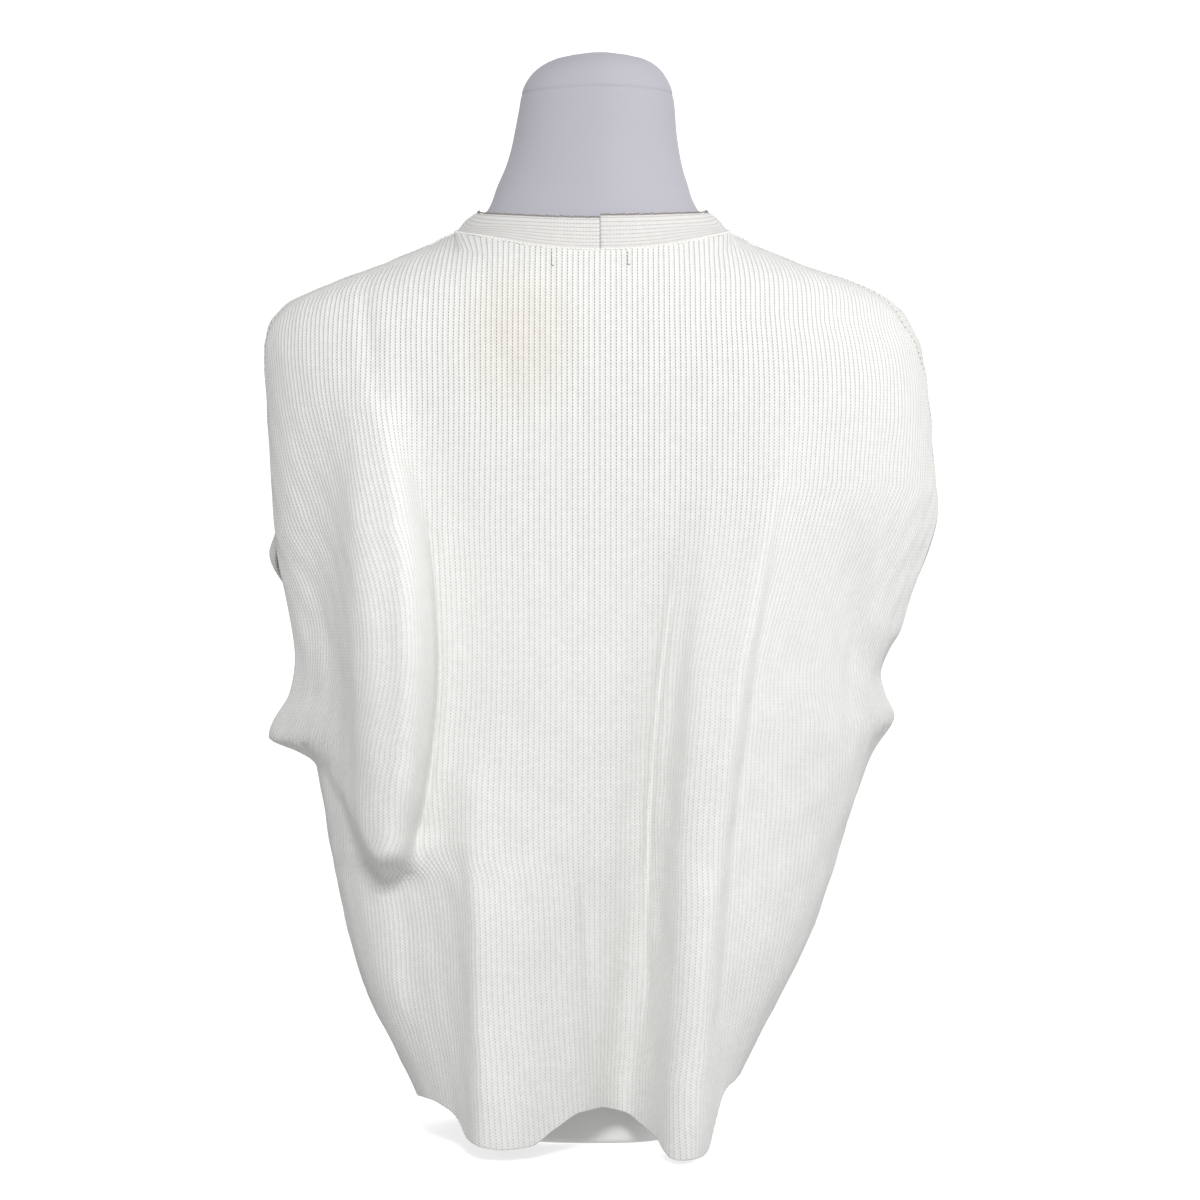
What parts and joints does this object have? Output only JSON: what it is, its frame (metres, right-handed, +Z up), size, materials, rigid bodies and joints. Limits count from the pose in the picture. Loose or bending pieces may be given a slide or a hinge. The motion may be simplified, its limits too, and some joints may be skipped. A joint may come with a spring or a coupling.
{
  "type": "sweater vest on dress form",
  "caption": "Boxy rib-knit sweater vest with a V neck, draped in long folds from the shoulders of a limbless dress form that stands on its flat base",
  "frame": {"origin": "on the floor under the middle of the part's box, level with the flat base of the dress form", "axes": "+Z up, +X to the viewer's right when looking at the vest's back, the vest's back faces -Y and its V neck faces +Y"},
  "size_m": [0.4911, 0.2825, 0.7872],
  "materials": {
    "back_knit": "ivory rib knit, matt with a soft nap",
    "front_knit": "ivory rib knit, matt with a soft nap",
    "neckband_knit": "ivory rib knit, ribs along the band",
    "form_cover": "smooth lavender-grey jersey drawn tight"
  },
  "bodies": {
    "root": {"back_panel": "back_knit", "front_panel": "front_knit", "neckband_left": "neckband_knit", "neckband_right": "neckband_knit", "form_torso": "form_cover"}
  },
  "joints": []
}
